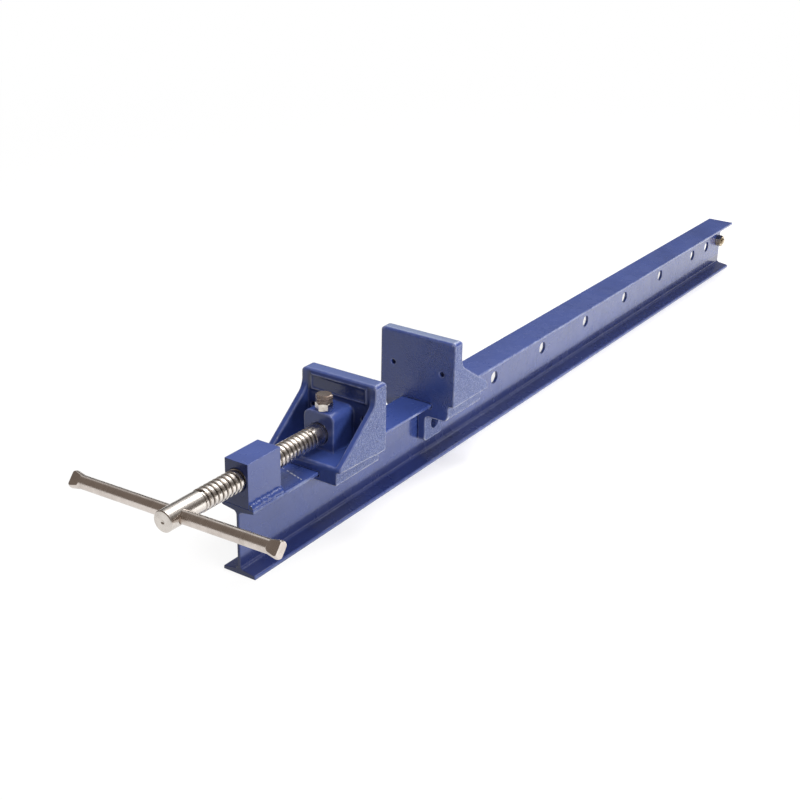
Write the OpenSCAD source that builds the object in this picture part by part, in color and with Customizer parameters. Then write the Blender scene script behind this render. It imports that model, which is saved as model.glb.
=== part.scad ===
// Heavy bar clamp on a rolled I-section bar, in millimetres.
// The bar runs along X with the screw at its -X end, and +Z is up.
// The origin is the middle of the bar's underside.

/* [Bar] */
// Length of the I-section bar
bar_length = 1280; // [1150:10:2000]
// Height of the section
bar_height = 80; // [76:1:90]
// Width of the flanges
flange_width = 42; // [38:1:46]
// Thickness of the web
web_thickness = 3.9; // [3:0.1:6]
// Flange thickness a quarter of the width in from its edge
flange_thickness = 5.9; // [5:0.1:7]
// Slope of the flange's inner face
flange_slope = 0.14; // [0.08:0.01:0.16]
// Fillet between web and flange
root_radius = 3.9; // [2:0.1:5]
// Rounding of the flange's inner edge
toe_radius = 2.3; // [1:0.1:3]
// Diameter of the pin holes in the web
web_hole_diameter = 17; // [16.5:0.1:19]
// Pin holes below the bar's top
web_hole_drop = 32; // [30:1:35]
// Spacing of the even holes
hole_pitch = 130; // [90:1:140]
// First even hole, from the bar's near end
first_even_hole = 510; // [470:1:540]
// Last hole, from the bar's far end
last_hole_inset = 60; // [50:1:70]
// Least distance from the even holes to the last one
hole_margin = 30; // [25:1:60]

/* [Nut block] */
// Length of the block along the bar
block_length = 52; // [40:1:60]
// Width of the block
block_width = 30; // [28:1:34]
// Height of the block
block_height = 50; // [46:1:60]
// Height of a side weld on the block
weld_height = 7; // [4:0.5:9]
// Height of the weld behind the block
rear_weld_height = 5; // [3:0.5:8]
// Reach of a weld over the flange
weld_reach = 5.5; // [3:0.5:6]

/* [Screw] */
// Height of the screw's axis above the bar
axis_rise = 29; // [26:0.5:32]
// Outside diameter of the thread
thread_diameter = 24; // [20:0.5:25]
// Advance in one turn
thread_pitch = 6.5; // [6:0.1:8]
// Depth of the thread
thread_depth = 2.6; // [2:0.1:3]
// Width of the thread's crest
crest_width = 3.3; // [2.4:0.1:3.4]
// Lean of the thread's flanks, in degrees
flank_angle = 12; // [5:1:14]
// Length of the whole screw
screw_length = 272; // [262:1:290]
// Length of the plain head
head_length = 50; // [44:1:56]
// Diameter of the plain head
head_diameter = 23; // [21:0.5:25]
// Plain collar left showing between the thread and the jaw's boss
collar_show = 13; // [6:1:20]
// Depth of the groove that the set bolt runs in
groove_depth = 3.5; // [2:0.1:5]
// Width of that groove
groove_width = 10; // [9:0.5:14]

/* [Tommy bar] */
// Diameter of the tommy bar
tommy_diameter = 14.5; // [10:0.5:15]
// Length of the tommy bar
tommy_length = 264; // [180:1:320]
// Diameter of its spread ends
tommy_end_diameter = 18.5; // [17:0.5:22]
// Length of each spread end
tommy_end_length = 13; // [8:1:18]
// Length of the rim at each end
tommy_rim = 2.5; // [1:0.5:5]
// How far the tommy bar is pushed to the +Y side
tommy_offset = 5; // [-60:1:60]
// Cross hole, from the screw's outer end
tommy_inset = 19; // [14:1:26]
// Turn of the tommy bar about the screw, in degrees
tommy_turn = -1.7; // [-10:0.1:10]

/* [Both jaws] */
// Height of the jaw faces above the bar
jaw_rise = 83; // [70:1:95]
// Rounding of the top corners of a face
corner_radius = 5; // [2:0.5:10]
// Rounding along the top edges of a face plate
edge_radius = 4; // [1:0.5:6]
// Thickness of the side gussets
gusset_thickness = 8; // [6:0.5:10]
// Hollow where a gusset leaves its plate
gusset_radius = 20; // [8:1:24]
// Height of the gussets' lower edge above the bar, at the clamping face
ledge_rise = 2; // [1:0.5:6]
// Height of the floor above the bar
floor_rise = 11; // [9:0.5:14]
// Width over the lips that hook the flange
lip_width = 90; // [76:1:96]
// Diameter of the facing screw holes
facing_hole_diameter = 6; // [4:0.1:8]
// Spacing of the facing screw holes
facing_hole_spacing = 68; // [58:1:72]
// Height of the facing screw holes above the bar
facing_hole_rise = 41; // [36:1:50]

/* [Moving jaw] */
// Clamping face, from the bar's near end
moving_face = 191; // [188:1:200]
// Depth of the casting
moving_depth = 84; // [80:1:88]
// Width of the casting
moving_width = 100; // [96:1:108]
// Thickness of the face plate
moving_plate = 20; // [14:0.5:24]
// Fall of the gussets' slope, in degrees
moving_gusset_angle = 39; // [36:0.5:41]
// Foot of that slope, from the casting's rear end
moving_gusset_inset = 2; // [0:0.5:4]
// Rounding of the gussets' rear tips
moving_tip_radius = 7; // [3:0.5:8]
// Climb of the gussets' lower edge towards the rear
moving_ledge_climb = 4; // [0:0.5:5]
// Depth of the lips below the bar's top
moving_lip_drop = 10; // [10:0.5:14]
// Lips' front end, from the clamping face
moving_lip_front = 6; // [0:0.5:10]
// Inner reach of the hooks, from the middle
hook_inset = 13; // [9:0.5:16]
// Width of the boss that takes the screw
boss_width = 40; // [36:1:42]
// Boss end, from the clamping face
boss_end = 56; // [52:1:62]
// Height of the boss over the screw's axis
boss_rise = 25; // [20:1:28]
// Rounding of the boss's top corners
boss_radius = 8; // [3:0.5:10]
// Width of the bare panel on the back of the plate
panel_width = 74; // [40:1:78]
// Height of the bare panel
panel_height = 18; // [10:0.5:20]
// Width of the panel's raised rim
panel_rim = 1.6; // [1:0.1:3]
// Height of that rim over the plate
panel_proud = 1; // [0.5:0.1:2]

/* [Tail jaw] */
// Clamping face, from the bar's near end
tail_face = 327; // [310:1:335]
// Depth of the casting
tail_depth = 79; // [76:1:84]
// Width of the casting
tail_width = 104; // [96:1:110]
// Thickness of the face plate
tail_plate = 16.5; // [12:0.5:20]
// Fall of the gussets' slope, in degrees
tail_gusset_angle = 32.5; // [30:0.5:35]
// Rounding of the gussets' rear tips
tail_tip_radius = 9; // [4:0.5:10]
// Depth of the lips below the bar's top
tail_lip_drop = 18; // [14:0.5:20]
// Lips' rear end, short of the gussets
tail_lip_rear = 4; // [0:0.5:10]
// Rounding of the lips' lower edge
lip_radius = 8; // [2:0.5:9]
// Length of the legs beside the web
leg_length = 39; // [35:1:44]
// Outer face of a leg, from the middle
leg_reach = 13.4; // [11:0.1:15]
// Depth of the legs below the bar's top
leg_drop = 51; // [48:1:58]
// Rounding under a leg and in the arch beside it
leg_radius = 5; // [2:0.5:6]

/* [Locating pin] */
// Diameter of the pin
pin_diameter = 15.9; // [12:0.1:16]
// Pin hole in the legs, from the clamping face
pin_inset = 22; // [18:1:25]
// Diameter of the pin's head
pin_head_diameter = 20; // [19:0.5:24]
// Thickness of the pin's head
pin_head_length = 8; // [5:0.5:12]
// How far the pin is drawn out
pin_draw = 17; // [16.5:0.5:22]

/* [Bolts] */
// Diameter of the bolts
bolt_diameter = 10; // [8:0.5:11]
// Hexagon across flats
hex_flats = 17; // [15:0.5:19]
// Height of a bolt head
bolt_head = 9; // [6:0.5:10]
// Height of a nut
nut_height = 9; // [6:0.5:11]
// Set bolt, from the clamping face
set_bolt_inset = 45.5; // [42:0.5:47]
// Turn of the set bolt's head, in degrees
set_bolt_turn = 48; // [0:1:60]
// End stop bolt, from the bar's far end
stop_inset = 12; // [11:0.5:16]
// Bolt end showing beyond the stop nut
stop_tail = 3; // [1:0.5:6]

/* [Fits] */
// Radial clearance of a running fit
running_gap = 0.05; // [0.02:0.01:0.1]
// Gap between a jaw and the bar
slide_gap = 0.3; // [0.2:0.05:0.6]
// Gap between a jaw and the bar's flange edges and web
side_gap = 0.6; // [0.4:0.1:1]
// Gap all round between screw thread and nut thread
thread_gap = 0.45; // [0.35:0.05:0.6]

/* [Hidden] */
$fn = 64;

enamel = [0.16, 0.23, 0.47];
bright_steel = [0.72, 0.69, 0.65];
yellow_zinc = [0.72, 0.6, 0.38];
dark_steel = [0.35, 0.34, 0.34];

// Facets in one turn of a thread, and turns over which it fades out
turn_steps = 18;
fade_turns = 0.5;
// How far a cut runs past the face that it opens
past = 1;
// Bevel on the ends of turned pieces
turned_bevel = 1;

near_end = -bar_length / 2;
far_end = bar_length / 2;
web_half = web_thickness / 2;
flange_half = flange_width / 2;
axis_z = bar_height + axis_rise;
jaw_top = bar_height + jaw_rise;
ledge_z = bar_height + ledge_rise;
floor_z = bar_height + floor_rise;
facing_z = bar_height + facing_hole_rise;
moving_x = near_end + moving_face;
tail_x = near_end + tail_face;
pin_x = tail_x + pin_inset;
stop_x = far_end - stop_inset;
set_bolt_x = moving_x - set_bolt_inset;
boss_x = moving_x - boss_end;
boss_top = axis_z + boss_rise;
web_hole_height = bar_height - web_hole_drop;
leg_foot = bar_height - leg_drop;
leg_hole_diameter = pin_diameter + 2 * running_gap;
bolt_hole_diameter = bolt_diameter + 2 * running_gap;

// Screw stations along X
nose_margin = 20;
screw_tip = set_bolt_x + nose_margin;
screw_end = screw_tip - screw_length;
thread_start = screw_end + head_length;
thread_end = boss_x - collar_show;
core_radius = thread_diameter / 2 - thread_depth;
tommy_x = screw_end + tommy_inset;
// The thread's angle is counted from the middle of the block
block_middle = near_end + block_length / 2;
function turn_at(x) = (x - block_middle) / thread_pitch * 360;

// The top flange's inner face, at a distance from the middle
face_stretch = sqrt(1 + flange_slope * flange_slope);
face_angle = atan(flange_slope);
function under_flange(y) = bar_height - flange_thickness - flange_slope * (flange_width / 4 - y);

function on_circle(centre, radius, angle) = centre + radius * [cos(angle), sin(angle)];
function arc(centre, radius, from, to, steps) =
    [for (i = [0 : steps]) on_circle(centre, radius, from + (to - from) * i / steps)];
function flip(points) = [for (i = [len(points) - 1 : -1 : 0]) points[i]];

// One quarter of the section, from the flange's top corner round to the web
toe_centre = [flange_half - toe_radius,
    under_flange(flange_half - toe_radius) + toe_radius * face_stretch];
root_centre = [web_half + root_radius,
    under_flange(web_half + root_radius) - root_radius * face_stretch];
quarter = concat([[flange_half, bar_height]],
    arc(toe_centre, toe_radius, 0, face_angle - 90, 5),
    arc(root_centre, root_radius, face_angle + 90, 180, 6));
half_section = concat(quarter, flip([for (p = quarter) [p.x, bar_height - p.y]]));
section = concat(half_section, flip([for (p = half_section) [-p.x, p.y]]));

// Pin holes: one under the tail jaw, as many as fit at even spacing, and the last one
hole_room = bar_length - last_hole_inset - hole_margin - first_even_hole;
hole_places = concat([pin_x],
    [for (i = [0 : floor(hole_room / hole_pitch)]) near_end + first_even_hole + i * hole_pitch],
    [far_end - last_hole_inset]);

// Extrudes an outline drawn in Y and Z along X
module along_x(from, to) {
    translate([from, 0, 0]) rotate([90, 0, 90]) linear_extrude(to - from) children();
}

// Extrudes an outline drawn in X and Z across Y
module across_y(from, to) {
    translate([0, to, 0]) rotate([90, 0, 0]) linear_extrude(to - from) children();
}

// A round bar along X on the screw's axis
module round_x(from, to, diameter) {
    translate([from, 0, axis_z]) rotate([0, 90, 0]) cylinder(h = to - from, d = diameter);
}

// A cone frustum along X on the screw's axis
module cone_x(from, to, start_diameter, end_diameter) {
    translate([from, 0, axis_z]) rotate([0, 90, 0])
        cylinder(h = to - from, d1 = start_diameter, d2 = end_diameter);
}

// A round bar across Y
module round_y(x, z, from, to, diameter) {
    translate([x, to, z]) rotate([90, 0, 0]) cylinder(h = to - from, d = diameter);
}

// A hexagon across Y, its corners up and down
module hex_y(x, z, from, to) {
    translate([x, to, z]) rotate([90, 30, 0]) cylinder(h = to - from, d = hex_flats / cos(30), $fn = 6);
}

// A rod with a right-hand thread along X on the screw's axis, between two turning angles.
// Its skin is one strip that follows the thread, with four points in each pitch.
module threaded_rod(from, to, crest_radius, crest, root_radius, fade) {
    last = floor((to - from) / 360 * turn_steps);
    flank = tan(flank_angle) * (crest_radius - root_radius);
    fade_steps = fade * turn_steps;
    function rise(i) = fade == 0 ? 1 : min(1, i / fade_steps, (last - i) / fade_steps);
    function ring(i) = let(a = from + i * 360 / turn_steps, x = block_middle + thread_pitch * a / 360,
            crest_now = root_radius + (crest_radius - root_radius) * rise(i))
        [for (p = [[-crest / 2 - flank, root_radius], [-crest / 2, crest_now],
                [crest / 2, crest_now], [crest / 2 + flank, root_radius]])
            [x + p[0], p[1] * cos(a), axis_z + p[1] * sin(a)]];
    function place(i, k) = 4 * i + k;
    function both(a, b, c, d) = [[a, b, c], [a, c, d]];
    start_middle = 4 * (last + 1);
    end_middle = start_middle + 1;
    start_x = block_middle + thread_pitch * (from / 360 + 0.5);
    end_x = block_middle + thread_pitch * (from / 360 + last / turn_steps - 0.5);
    points = concat([for (i = [0 : last]) each ring(i)], [[start_x, 0, axis_z], [end_x, 0, axis_z]]);
    thread = [for (i = [0 : last - 1], k = [0 : 2])
        each both(place(i, k), place(i, k + 1), place(i + 1, k + 1), place(i + 1, k))];
    roots = [for (i = [0 : last - turn_steps - 1])
        each both(place(i, 3), place(i + turn_steps, 0), place(i + turn_steps + 1, 0), place(i + 1, 3))];
    start_edge = concat([for (i = [0 : turn_steps]) place(i, 0)], [for (k = [3 : -1 : 1]) place(0, k)]);
    end_edge = concat([for (k = [0 : 3]) place(last, k)], [for (i = [1 : turn_steps]) place(last - i, 3)]);
    function fan(edge, middle) = [for (i = [0 : len(edge) - 1]) [middle, edge[i], edge[(i + 1) % len(edge)]]];
    polyhedron(points, concat(thread, roots, fan(start_edge, start_middle), fan(end_edge, end_middle)),
        convexity = 10);
}

module bar() {
    color(enamel) difference() {
        along_x(near_end, far_end) polygon(section);
        for (x = hole_places)
            round_y(x, web_hole_height, -web_thickness, web_thickness, web_hole_diameter);
        round_y(stop_x, web_hole_height, -web_thickness, web_thickness, bolt_hole_diameter);
    }
}

module nut_block() {
    run_out = 2 * thread_pitch;
    color(enamel) difference() {
        translate([near_end, -block_width / 2, bar_height]) cube([block_length, block_width, block_height]);
        threaded_rod(turn_at(near_end - run_out), turn_at(near_end + block_length + run_out),
            thread_diameter / 2 + thread_gap, crest_width + 2 * thread_gap, core_radius + thread_gap, 0);
    }
}

// The convex section of a weld, its corner at the outline's origin
module weld_section(reach, height) {
    steps = 8;
    bulge = 0.18;
    function face(t) = (1 + bulge * sin(180 * t)) * [reach * (1 - t), height * t];
    polygon(concat([[0, 0]], [for (i = [0 : steps]) face(i / steps)]));
}

module side_weld(side) {
    run_end = near_end + block_length;
    color(enamel) mirror([0, side < 0 ? 1 : 0, 0]) translate([0, block_width / 2, bar_height])
        along_x(near_end + past, run_end) weld_section(weld_reach, weld_height);
}

module near_side_weld() {
    side_weld(-1);
}

module far_side_weld() {
    side_weld(1);
}

module rear_weld() {
    color(enamel) translate([near_end + block_length, 0, bar_height])
        across_y(-block_width / 2, block_width / 2) weld_section(weld_reach, rear_weld_height);
}

module stop_bolt() {
    color(yellow_zinc) {
        hex_y(stop_x, web_hole_height, web_half, web_half + bolt_head);
        round_y(stop_x, web_hole_height, -web_half - nut_height - stop_tail, web_half + past, bolt_diameter);
    }
}

module stop_nut() {
    color(yellow_zinc) difference() {
        hex_y(stop_x, web_hole_height, -web_half - nut_height, -web_half);
        round_y(stop_x, web_hole_height, -web_half - nut_height - past, past, bolt_hole_diameter);
    }
}

module screw() {
    dimple = 5;
    groove_half = groove_width / 2;
    color(bright_steel) difference() {
        union() {
            cone_x(screw_end, screw_end + turned_bevel, head_diameter - 2 * turned_bevel, head_diameter);
            round_x(screw_end + turned_bevel, thread_start, head_diameter);
            threaded_rod(turn_at(thread_start - past), turn_at(thread_end + past),
                thread_diameter / 2, crest_width, core_radius, fade_turns);
            round_x(thread_end, set_bolt_x - groove_half, thread_diameter);
            round_x(set_bolt_x - groove_half - past, set_bolt_x + groove_half + past,
                thread_diameter - 2 * groove_depth);
            round_x(set_bolt_x + groove_half, screw_tip - turned_bevel, thread_diameter);
            cone_x(screw_tip - turned_bevel, screw_tip, thread_diameter, thread_diameter - 2 * turned_bevel);
        }
        cone_x(screw_end - past, screw_end + dimple / 2, dimple + 2 * past, 0);
        translate([tommy_x, 0, axis_z]) rotate([90 + tommy_turn, 0, 0])
            cylinder(h = 2 * head_diameter, d = tommy_diameter + 2 * running_gap, center = true);
    }
}

module tommy_bar() {
    half = tommy_length / 2;
    neck = half - tommy_end_length;
    rim = half - tommy_rim;
    rod = tommy_diameter / 2;
    flare = tommy_end_diameter / 2;
    color(bright_steel) translate([tommy_x, 0, axis_z]) rotate([90 + tommy_turn, 0, 0])
        translate([0, 0, -tommy_offset]) rotate_extrude()
        polygon([[0, -half], [flare - turned_bevel, -half], [flare, -rim], [rod, -neck],
            [rod, neck], [flare, rim], [flare - turned_bevel, half], [0, half]]);
}

// Outline of a jaw's gusset in depth and height, from its clamping face at depth 0.
// Its slope falls to the floor at the foot's depth and is rounded into the rear end.
module gusset_outline(plate, depth, foot, angle, tip_radius, low, climb) {
    function slope(d) = floor_z + tan(angle) * (foot - d);
    hollow = plate + gusset_radius;
    hollow_centre = [hollow, slope(hollow) + gusset_radius / cos(angle)];
    tip_centre = [depth - tip_radius, slope(depth - tip_radius) - tip_radius / cos(angle)];
    polygon(concat([[0, low], [depth, min(low + climb, tip_centre.y)]],
        arc(tip_centre, tip_radius, 0, 90 - angle, 8),
        arc(hollow_centre, gusset_radius, 270 - angle, 180, 8),
        [[plate, jaw_top - corner_radius], [0, jaw_top - corner_radius]]));
}

// An upright rectangle with its top corners rounded
module rounded_top(half_width, low, high, radius) {
    translate([-half_width, low]) square([2 * half_width, high - low - radius]);
    translate([radius - half_width, low]) square([2 * (half_width - radius), high - low]);
    for (side = [-1, 1]) translate([side * (half_width - radius), high - radius]) circle(r = radius);
}

// The room that the bar's top flange and web need in a jaw
module bar_room(throat, bottom) {
    edge = flange_half + side_gap;
    function hook(y) = under_flange(y) - side_gap;
    knee = max(throat, web_half + root_radius + side_gap);
    half = [[throat, bottom - past], [throat, hook(knee) - (knee - throat)], [knee, hook(knee)],
        [edge, hook(edge)], [edge, bar_height + slide_gap]];
    polygon(concat(half, flip([for (p = half) [-p.x, p.y]])));
}

// A face plate, rounded at its top corners and along its top edges
module face_plate(half, plate) {
    intersection() {
        along_x(0, plate) rounded_top(half, ledge_z, jaw_top, corner_radius);
        across_y(-half, half) translate([plate / 2, 0]) rounded_top(plate / 2, ledge_z, jaw_top, edge_radius);
    }
}

// What both jaws have: plate, gussets, floor and hooking lips.
// The clamping face is at X = 0 and the depth runs along +X.
module jaw_body(width, depth, plate, foot, angle, tip_radius, climb,
        lip_drop, lip_from, lip_to, radius, throat) {
    half = width / 2;
    lip_half = lip_width / 2;
    bottom = bar_height - lip_drop;
    module side(low, rise) {
        gusset_outline(plate, depth, foot, angle, tip_radius, low, rise);
    }
    module floor_side(low, rise) {
        intersection() {
            side(low, rise);
            translate([0, low]) square([depth, floor_z - low]);
        }
    }
    difference() {
        union() {
            face_plate(half, plate);
            for (from = [-half, half - gusset_thickness])
                across_y(from, from + gusset_thickness) side(ledge_z, climb);
            across_y(-half, half) floor_side(ledge_z, climb);
            across_y(-lip_half, lip_half) floor_side(bar_height, 0);
            along_x(lip_from, lip_to) mirror([0, 1]) rounded_top(lip_half, -ledge_z, -bottom, radius);
        }
        along_x(-past, depth + past) bar_room(throat, bottom);
        for (side = [-1, 1]) translate([-past, side * facing_hole_spacing / 2, facing_z])
            rotate([0, 90, 0]) cylinder(h = plate + 2 * past, d = facing_hole_diameter);
    }
}

module moving_jaw() {
    moving_lip_radius = 2;
    bore_end = screw_tip + past;
    panel_middle = jaw_top - edge_radius - past - panel_height / 2;
    plate_back = moving_x - moving_plate;
    color(enamel) difference() {
        union() {
            translate([moving_x, 0, 0]) mirror([1, 0, 0])
                jaw_body(moving_width, moving_depth, moving_plate, moving_depth - moving_gusset_inset,
                    moving_gusset_angle, moving_tip_radius, moving_ledge_climb, moving_lip_drop,
                    moving_lip_front, moving_depth, moving_lip_radius, hook_inset);
            along_x(boss_x, moving_x - moving_plate / 2)
                rounded_top(boss_width / 2, ledge_z, boss_top, boss_radius);
            along_x(plate_back - panel_proud, plate_back + past) translate([0, panel_middle]) difference() {
                square([panel_width, panel_height], center = true);
                square([panel_width - 2 * panel_rim, panel_height - 2 * panel_rim], center = true);
            }
        }
        round_x(boss_x - past, bore_end, thread_diameter + 2 * running_gap);
        translate([set_bolt_x, 0, axis_z]) cylinder(h = boss_rise + past, d = bolt_hole_diameter);
        along_x(boss_x, moving_x) bar_room(hook_inset, bar_height - moving_lip_drop);
    }
}

module set_bolt() {
    point_length = 4;
    point_step = 2;
    point_diameter = bolt_diameter - 2 * point_step;
    point_end = axis_z + thread_diameter / 2 - groove_depth + slide_gap;
    seat = boss_top + nut_height;
    color(yellow_zinc) {
        translate([set_bolt_x, 0, seat]) rotate(set_bolt_turn)
            cylinder(h = bolt_head, d = hex_flats / cos(30), $fn = 6);
        translate([set_bolt_x, 0, point_end + point_length])
            cylinder(h = seat - point_end - point_length + past, d = bolt_diameter);
        translate([set_bolt_x, 0, point_end]) cylinder(h = point_length + past, d = point_diameter);
    }
}

module lock_nut() {
    color(yellow_zinc) translate([set_bolt_x, 0, boss_top]) difference() {
        cylinder(h = nut_height, d = hex_flats / cos(30), $fn = 6);
        translate([0, 0, -past]) cylinder(h = nut_height + 2 * past, d = bolt_hole_diameter);
    }
}

// Leg outline in depth and height, with a rounded foot
module leg_outline(top) {
    translate([0, leg_foot + leg_radius]) square([leg_length, top - leg_foot - leg_radius]);
    translate([leg_radius, leg_foot]) square([leg_length - 2 * leg_radius, leg_radius + past]);
    for (depth = [leg_radius, leg_length - leg_radius])
        translate([depth, leg_foot + leg_radius]) circle(r = leg_radius);
}

// The hollow corner that blends a leg into the lip, above the pin's head
module arch_outline(bottom) {
    radius = min(leg_radius, bottom - web_hole_height - pin_head_diameter / 2);
    translate([leg_reach, bottom - radius]) difference() {
        square([radius, radius + past]);
        translate([radius, 0]) circle(r = radius);
    }
}

module tail_jaw() {
    bottom = bar_height - tail_lip_drop;
    throat = web_half + side_gap;
    color(enamel) translate([tail_x, 0, 0]) difference() {
        union() {
            jaw_body(tail_width, tail_depth, tail_plate, tail_depth, tail_gusset_angle, tail_tip_radius, 0,
                tail_lip_drop, 0, tail_depth - tail_lip_rear, lip_radius, throat);
            for (side = [0, 1]) mirror([0, side, 0]) {
                across_y(throat, leg_reach) leg_outline(bottom + past);
                along_x(0, leg_length) arch_outline(bottom);
            }
        }
        round_y(pin_inset, web_hole_height, -leg_reach - past, leg_reach + past, leg_hole_diameter);
    }
}

module locating_pin() {
    tip = pin_draw - leg_reach - slide_gap;
    seat = pin_draw + leg_reach + slide_gap;
    color(dark_steel) {
        translate([pin_x, tip + turned_bevel, web_hole_height]) rotate([90, 0, 0])
            cylinder(h = turned_bevel, d1 = pin_diameter, d2 = pin_diameter - 2 * turned_bevel);
        round_y(pin_x, web_hole_height, tip + turned_bevel, seat + past, pin_diameter);
        round_y(pin_x, web_hole_height, seat, seat + pin_head_length - turned_bevel, pin_head_diameter);
        translate([pin_x, seat + pin_head_length, web_hole_height]) rotate([90, 0, 0])
            cylinder(h = turned_bevel, d1 = pin_head_diameter - 2 * turned_bevel, d2 = pin_head_diameter);
    }
}

bar();
nut_block();
near_side_weld();
far_side_weld();
rear_weld();
stop_bolt();
stop_nut();
screw();
tommy_bar();
moving_jaw();
set_bolt();
lock_nut();
tail_jaw();
locating_pin();
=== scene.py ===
# %% [markdown]
# # A heavy bar clamp, dressed for its photograph
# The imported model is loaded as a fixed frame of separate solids. Each later cell makes one piece of the
# clamp in finer detail, hangs it on the body that carries it and hides the plain solid it stands for.
# The frame has X along the bar, Z up and its origin under the middle of the bar. Shapes are worked out in
# millimetres, as on a drawing, and are scaled to Blender's metres once, when a piece is hung.

from functools import partial
from math import cos, pi, radians, sin, sqrt, tan

import bmesh
import bpy
from mathutils import Matrix, Vector


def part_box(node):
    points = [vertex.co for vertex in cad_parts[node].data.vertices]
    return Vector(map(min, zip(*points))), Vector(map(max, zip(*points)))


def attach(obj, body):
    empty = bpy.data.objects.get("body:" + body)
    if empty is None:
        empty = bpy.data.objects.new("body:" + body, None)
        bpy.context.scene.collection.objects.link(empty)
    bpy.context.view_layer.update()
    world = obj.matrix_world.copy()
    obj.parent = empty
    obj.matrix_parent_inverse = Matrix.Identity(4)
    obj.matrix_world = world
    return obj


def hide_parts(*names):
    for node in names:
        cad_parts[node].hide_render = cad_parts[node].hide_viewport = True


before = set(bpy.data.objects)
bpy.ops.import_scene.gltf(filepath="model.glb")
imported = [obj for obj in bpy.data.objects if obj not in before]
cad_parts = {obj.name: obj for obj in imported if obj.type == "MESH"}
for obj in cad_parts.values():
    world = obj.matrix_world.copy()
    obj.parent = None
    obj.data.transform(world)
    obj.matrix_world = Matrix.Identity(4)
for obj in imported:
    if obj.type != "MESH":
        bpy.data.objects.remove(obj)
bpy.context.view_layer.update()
print("solids:", sorted(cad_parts))

# %% [markdown]
# ## Camera
# A pinhole camera was fitted to the bar's long edges and its row of holes, so the clamp falls on the same
# pixels as in the photograph. Its place and its three turning angles are all that is needed: the matrix is
# put together from the camera's right, up and back directions, which is easier to check than Euler angles.

# %% Place the camera
CAMERA_PLACE = Vector((-1.55898, -0.80190, 0.73320))
AZIMUTH, ELEVATION, ROLL = radians(-56.49), radians(23.80), radians(1.24)
SENSOR, FOCAL_LENGTH = 36, 61.35


def placed(name, data):
    """A new object in the scene."""
    thing = bpy.data.objects.new(name, data)
    bpy.context.scene.collection.objects.link(thing)
    return thing


back = Vector((sin(AZIMUTH) * cos(ELEVATION), -cos(AZIMUTH) * cos(ELEVATION), sin(ELEVATION)))
level = Vector((0, 0, 1)).cross(back).normalized()
upright = back.cross(level)
right = cos(ROLL) * level + sin(ROLL) * upright
up = cos(ROLL) * upright - sin(ROLL) * level
lens = bpy.data.cameras.new("photo_lens")
lens.sensor_width, lens.lens = SENSOR, FOCAL_LENGTH
camera = placed("photo_camera", lens)
camera.matrix_world = Matrix.Translation(CAMERA_PLACE) @ Matrix((right, up, back)).transposed().to_4x4()
bpy.context.scene.camera = camera
print("camera at", [round(v, 3) for v in camera.matrix_world.translation])

# %% [markdown]
# ## Helpers for node trees
# Shader trees, node groups and geometry trees are all built from the same few moves: add a node, set its
# settings, and fill its inputs with a number or with another node's output. One helper does all of that, so
# the later cells read like a list of what the tree does. The helpers add to the tree that was begun last,
# and the common steps of arithmetic have names of their own.

# %% Helpers for node trees
trees = []


def add(kind, put=None, **settings):
    """Adds a node, sets its settings, and fills inputs by name or number with a value or a link."""
    tree = trees[-1]
    node = tree.nodes.new(kind)
    for key, value in settings.items():
        setattr(node, key, value)
    for key, value in (put or {}).items():
        if isinstance(value, bpy.types.Node):
            value = value.outputs[0]
        if isinstance(value, bpy.types.NodeSocket):
            tree.links.new(value, node.inputs[key])
        else:
            node.inputs[key].default_value = value
    return node


def calc(operation, *values):
    """One step of arithmetic."""
    return add("ShaderNodeMath", dict(enumerate(values)), operation=operation).outputs[0]


STEPS = ("ADD", "SUBTRACT", "MAXIMUM", "ABSOLUTE", "GREATER_THAN")
plus, minus, larger, size_of, above = [partial(calc, kind) for kind in STEPS]


def times(product, *others):
    """Several values multiplied."""
    for other in others:
        product = calc("MULTIPLY", product, other)
    return product


def span(value, low, high, to_low=0.0, to_high=1.0, way="LINEAR"):
    """Maps a value from one range to another and clamps it there."""
    put = {0: value, 1: low, 2: high, 3: to_low, 4: to_high}
    return add("ShaderNodeMapRange", put, interpolation_type=way).outputs[0]


def blend(amount, *colours):
    """Mixes two colours."""
    first, second = [c if isinstance(c, bpy.types.NodeSocket) else (*c, 1) for c in colours]
    return add("ShaderNodeMix", {0: amount, 6: first, 7: second}, data_type="RGBA").outputs[2]


def grey(value):
    """A colour with the same value in each channel."""
    return add("ShaderNodeCombineColor", {n: value for n in range(3)}).outputs[0]


def grain(vector, scale, detail=2.0):
    """A noise value between 0 and 1."""
    return add("ShaderNodeTexNoise", {"Vector": vector, "Scale": scale, "Detail": detail}).outputs[0]


def parts_of(vector):
    """The X, Y and Z outputs of a vector."""
    return add("ShaderNodeSeparateXYZ", {0: vector}).outputs


def on_object():
    """A point's place on its object in metres, whole and in parts."""
    where = add("ShaderNodeTexCoord").outputs["Object"]
    return where, parts_of(where)


def make_group(kind, name, inputs, outputs):
    """Begins a node group; inputs have a start value or a kind of socket by name, outputs a kind."""
    tree = bpy.data.node_groups.new(name, kind)
    trees.append(tree)
    for label, start in inputs.items():
        socket = {float: "Float", int: "Int"}.get(type(start), start)
        made = tree.interface.new_socket(label, in_out="INPUT", socket_type="NodeSocket" + socket)
        if socket != start:
            made.default_value = start
    for label, socket in outputs.items():
        tree.interface.new_socket(label, in_out="OUTPUT", socket_type="NodeSocket" + socket)
    return tree, tree.nodes.new("NodeGroupInput").outputs, tree.nodes.new("NodeGroupOutput")


def put_out(result, values):
    """Links values to a group's outputs by name."""
    for label, value in values.items():
        trees[-1].links.new(value, result.inputs[label])
    print("group", trees[-1].name, "puts out", list(values))


def begin(owner):
    """Begins the empty tree of a material or a world."""
    owner.use_nodes = True
    owner.node_tree.nodes.clear()
    trees.append(owner.node_tree)
    return owner


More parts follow.
